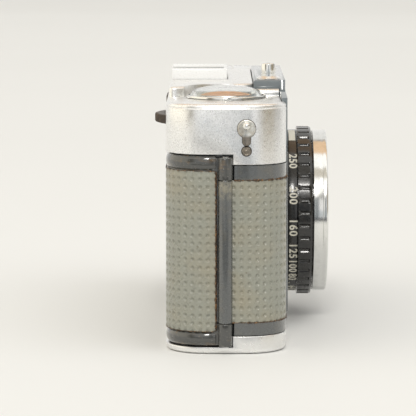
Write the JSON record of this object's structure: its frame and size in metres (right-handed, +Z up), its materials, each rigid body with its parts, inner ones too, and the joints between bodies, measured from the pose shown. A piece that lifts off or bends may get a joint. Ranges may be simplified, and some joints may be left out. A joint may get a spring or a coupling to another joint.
{
  "type": "half-frame viewfinder film camera",
  "caption": "Compact viewfinder film camera for half-size frames, with a wrap-round hinged back, a speed ring round a fixed lens and a hot shoe.",
  "frame": {"origin": "centre of the body's plan, on the base plate's underside", "axes": "+X towards the latch end (the viewer's left hand), lens looking along -Y, +Z up"},
  "size_m": [0.1192, 0.0417, 0.065],
  "materials": {
    "satin_chrome": "satin",
    "bright_chrome": "polished",
    "grey_casting": "die cast, grey enamel",
    "door_enamel": "gloss dark grey",
    "grey_leatherette": "embossed vinyl covering",
    "blue_grey_gloss": "gloss",
    "black_anodised": "black anodised",
    "steel": "brushed",
    "brass": "plain",
    "dark_plastic": "matte",
    "clear_glass": "clear",
    "cell_window": "moulded lenslets"
  },
  "bodies": {
    "camera_body": {"top_cover": "satin_chrome", "base_plate": "satin_chrome", "front_panel": "satin_chrome", "counter_bezel": "bright_chrome", "strap_lug_hinge_side": "bright_chrome", "strap_lug_latch_side": "bright_chrome", "lug_stud_hinge_side": "bright_chrome", "lug_stud_latch_side": "bright_chrome", "lug_rivet_hinge_side": "bright_chrome", "lug_rivet_latch_side": "bright_chrome", "shutter_collar": "bright_chrome", "front_ring": "bright_chrome", "body_casting": "grey_casting", "leather_hinge_side": "grey_leatherette", "leather_latch_side": "grey_leatherette", "front_fascia": "blue_grey_gloss", "lens_barrel": "black_anodised", "lens_cell": "black_anodised", "hot_shoe": "steel", "selenium_cell": "steel", "hinge_pin": "steel", "base_screw_a": "steel", "base_screw_b": "steel", "hot_shoe_contact": "brass", "tripod_bush": "brass", "meter_movement": "brass", "finder_tube": "dark_plastic", "eyepiece_frame": "dark_plastic", "shutter_housing": "dark_plastic", "finder_window": "clear_glass", "bright_window": "clear_glass", "eyepiece_lens": "clear_glass", "counter_window": "clear_glass", "front_element": "clear_glass", "rear_element": "clear_glass", "cell_window": "cell_window"},
    "door": {"door_shell": "door_enamel", "door_leatherette": "grey_leatherette", "pressure_spring": "steel", "door_catch": "steel"},
    "pressure_plate": {"pressure_plate": "steel"},
    "speed_ring": {"scale_ring": "black_anodised", "grip_ring": "black_anodised"},
    "shutter_button": {"shutter_button": "bright_chrome"},
    "wind": {"thumbwheel": "dark_plastic", "wind_shaft": "steel", "wind_gear": "brass", "takeup_spool": "dark_plastic"},
    "sprocket": {"film_sprocket": "steel", "sprocket_gear": "brass"},
    "counter_dial": {"counter_dial": "dark_plastic"},
    "rewind_lift": {"rewind_collar": "brass"},
    "rewind_spin": {"rewind_knob": "bright_chrome", "rewind_shaft": "steel"},
    "rewind_crank": {"rewind_crank": "bright_chrome"},
    "rewind_release": {"rewind_release": "bright_chrome"},
    "door_latch": {"door_latch": "bright_chrome"},
    "blade_a": {"shutter_blade_a": "steel"},
    "blade_b": {"shutter_blade_b": "steel"}
  },
  "joints": [
    {"name": "door_swing", "type": "hinge", "parent": "camera_body", "child": "door", "pos_m": [-0.0573, 0.0002, 0.024], "axis": [0, 0, 1], "range_deg": [0, 115]},
    {"name": "pressure_plate_give", "type": "slide", "parent": "door", "child": "pressure_plate", "axis": [0, 1, 0], "range_m": [0, 0.0006], "stiffness_N_per_m": 400, "springref_m": -0.001},
    {"name": "speed_ring_turn", "type": "hinge", "parent": "camera_body", "child": "speed_ring", "pos_m": [0, -0.019, 0.0267], "axis": [0, -1, 0], "range_deg": [-30, 150]},
    {"name": "shutter_press", "type": "slide", "parent": "camera_body", "child": "shutter_button", "axis": [0, 0, -1], "range_m": [0, 0.0025], "stiffness_N_per_m": 400, "springref_m": -0.0005},
    {"name": "wind_turn", "type": "hinge", "parent": "camera_body", "child": "wind", "pos_m": [-0.039, 0.0021, 0.05], "axis": [0, 0, 1], "continuous": true},
    {"name": "sprocket_turn", "type": "hinge", "parent": "camera_body", "child": "sprocket", "pos_m": [-0.0218, 0.00336, 0.04], "axis": [0, 0, 1], "continuous": true},
    {"name": "counter_turn", "type": "hinge", "parent": "camera_body", "child": "counter_dial", "pos_m": [-0.0366, 0, 0.056], "axis": [0, 0, 1], "continuous": true},
    {"name": "rewind_pull", "type": "slide", "parent": "camera_body", "child": "rewind_lift", "axis": [0, 0, 1], "range_m": [0, 0.005]},
    {"name": "rewind_turn", "type": "hinge", "parent": "rewind_lift", "child": "rewind_spin", "pos_m": [0.0404, 0.0003, 0.058], "axis": [0, 0, 1], "continuous": true},
    {"name": "rewind_crank_unfold", "type": "hinge", "parent": "rewind_spin", "child": "rewind_crank", "pos_m": [0.035, 0.0003, 0.0595], "axis": [0, -1, 0], "range_deg": [0, 150]},
    {"name": "rewind_release_press", "type": "slide", "parent": "camera_body", "child": "rewind_release", "axis": [0, 0, 1], "range_m": [0, 0.0012], "stiffness_N_per_m": 200, "springref_m": -0.0005},
    {"name": "door_latch_slide", "type": "slide", "parent": "camera_body", "child": "door_latch", "axis": [0, 0, -1], "range_m": [0, 0.003], "stiffness_N_per_m": 150, "springref_m": -0.001},
    {"name": "blade_a_open", "type": "hinge", "parent": "camera_body", "child": "blade_a", "pos_m": [-0.0025, -0.01355, 0.0365], "axis": [0, 1, 0], "range_deg": [0, 38]},
    {"name": "blade_b_open", "type": "hinge", "parent": "camera_body", "child": "blade_b", "pos_m": [0.0025, -0.01405, 0.0169], "axis": [0, 1, 0], "range_deg": [0, 38]}
  ],
  "couplings": [
    {"joint": "sprocket_turn", "follows": "wind_turn", "ratio": -1.3},
    {"joint": "counter_turn", "follows": "wind_turn", "ratio": -0.025},
    {"joint": "blade_b_open", "follows": "blade_a_open", "ratio": 1}
  ]
}
